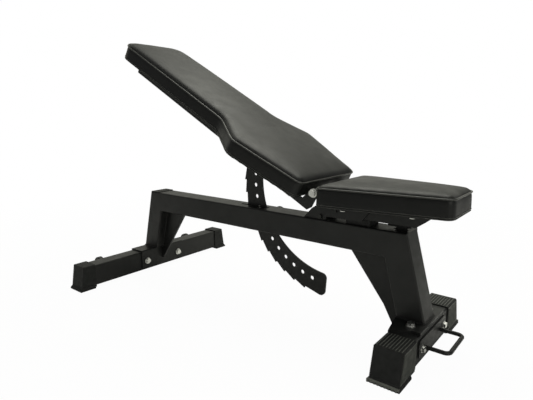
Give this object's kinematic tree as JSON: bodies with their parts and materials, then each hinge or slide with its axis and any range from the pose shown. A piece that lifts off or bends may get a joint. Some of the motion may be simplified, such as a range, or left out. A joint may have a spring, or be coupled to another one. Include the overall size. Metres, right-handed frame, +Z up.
{
  "type": "adjustable weight bench",
  "caption": "Flat-to-incline weight bench: padded backrest and seat on a steel frame, with a toothed arc plate, pull pins, rubber feet, transport wheels and a carry handle",
  "frame": {"origin": "middle of the bench's footprint on the floor, as it is posed here", "axes": "+X from the head end to the seat end, +Y to the side with the pull pins, +Z up"},
  "size_m": [1.35, 0.75, 0.8977],
  "materials": {
    "powder_coat": "satin black powder coat",
    "zinc_steel": "bright zinc plate",
    "spring_steel": "drawn wire",
    "foot_rubber": "moulded black rubber",
    "wheel_plastic": "hard black wheel",
    "knob_plastic": "moulded black plastic",
    "plywood": "plywood under black lining cloth",
    "leatherette": "black leatherette over firm foam"
  },
  "bodies": {
    "frame": {"main_beam": "powder_coat", "rear_post": "powder_coat", "front_leg": "powder_coat", "rear_gusset": "powder_coat", "front_gusset": "powder_coat", "rear_saddle": "powder_coat", "rear_crossbar": "powder_coat", "front_crossbar": "powder_coat", "front_base_plate": "powder_coat", "handle_plate": "powder_coat", "carry_handle": "powder_coat", "beam_stop_pad": "foot_rubber", "rear_foot_cap_left": "foot_rubber", "rear_foot_cap_right": "foot_rubber", "front_foot_cap_left": "foot_rubber", "front_foot_cap_right": "foot_rubber", "wheel_brackets": "powder_coat", "wheel_axles": "zinc_steel", "m12_bolts": "zinc_steel", "m12_washers": "zinc_steel", "m12_nuts": "zinc_steel", "handle_bolts": "zinc_steel", "handle_washers": "zinc_steel", "handle_nuts": "zinc_steel", "pivot_uprights": "powder_coat", "pivot_tube": "powder_coat", "pivot_spacers": "powder_coat", "pivot_bolt": "zinc_steel", "cross_bolt": "zinc_steel", "cross_nut": "zinc_steel", "seat_rest_pad": "foot_rubber", "back_pin_housing": "powder_coat", "seat_pin_housing": "powder_coat"},
    "backrest": {"arc_plate": "powder_coat", "back_board": "plywood", "back_pad": "leatherette", "back_pad_screws": "zinc_steel", "back_spine": "powder_coat", "back_spine_plug": "knob_plastic", "back_straps": "powder_coat", "yoke_tube": "powder_coat", "yoke_plate_left": "powder_coat", "yoke_plate_right": "powder_coat"},
    "seat": {"seat_arm_left": "powder_coat", "seat_arm_right": "powder_coat", "seat_arm_bolts": "zinc_steel", "seat_board": "plywood", "seat_pad": "leatherette", "seat_pad_screws": "zinc_steel", "seat_rail": "powder_coat", "seat_sector": "powder_coat", "seat_straps": "powder_coat"},
    "back_pin": {"back_pin_plunger": "zinc_steel", "back_pin_knob": "knob_plastic", "back_pin_spring": "spring_steel"},
    "seat_pin": {"seat_pin_plunger": "zinc_steel", "seat_pin_knob": "knob_plastic", "seat_pin_spring": "spring_steel"},
    "wheel_left": {"transport_wheel_left": "wheel_plastic"},
    "wheel_right": {"transport_wheel_right": "wheel_plastic"}
  },
  "joints": [
    {"name": "backrest_hinge", "type": "hinge", "parent": "frame", "child": "backrest", "pos_m": [0.298, 0, 0.422], "axis": [0, 1, 0], "range_deg": [-28.8, 50.4]},
    {"name": "seat_hinge", "type": "hinge", "parent": "frame", "child": "seat", "pos_m": [0.298, 0, 0.422], "axis": [0, -1, 0], "range_deg": [0, 11]},
    {"name": "back_pin_slide", "type": "slide", "parent": "frame", "child": "back_pin", "axis": [0, -1, 0], "range_m": [0, 0.018], "deforming": ["back_pin_spring"]},
    {"name": "seat_pin_slide", "type": "slide", "parent": "frame", "child": "seat_pin", "axis": [0, -1, 0], "range_m": [0, 0.018], "deforming": ["seat_pin_spring"]},
    {"name": "wheel_left_spin", "type": "hinge", "parent": "frame", "child": "wheel_left", "pos_m": [-0.646, 0.225, 0.046], "axis": [0, 1, 0], "continuous": true},
    {"name": "wheel_right_spin", "type": "hinge", "parent": "frame", "child": "wheel_right", "pos_m": [-0.646, -0.225, 0.046], "axis": [0, 1, 0], "continuous": true}
  ]
}
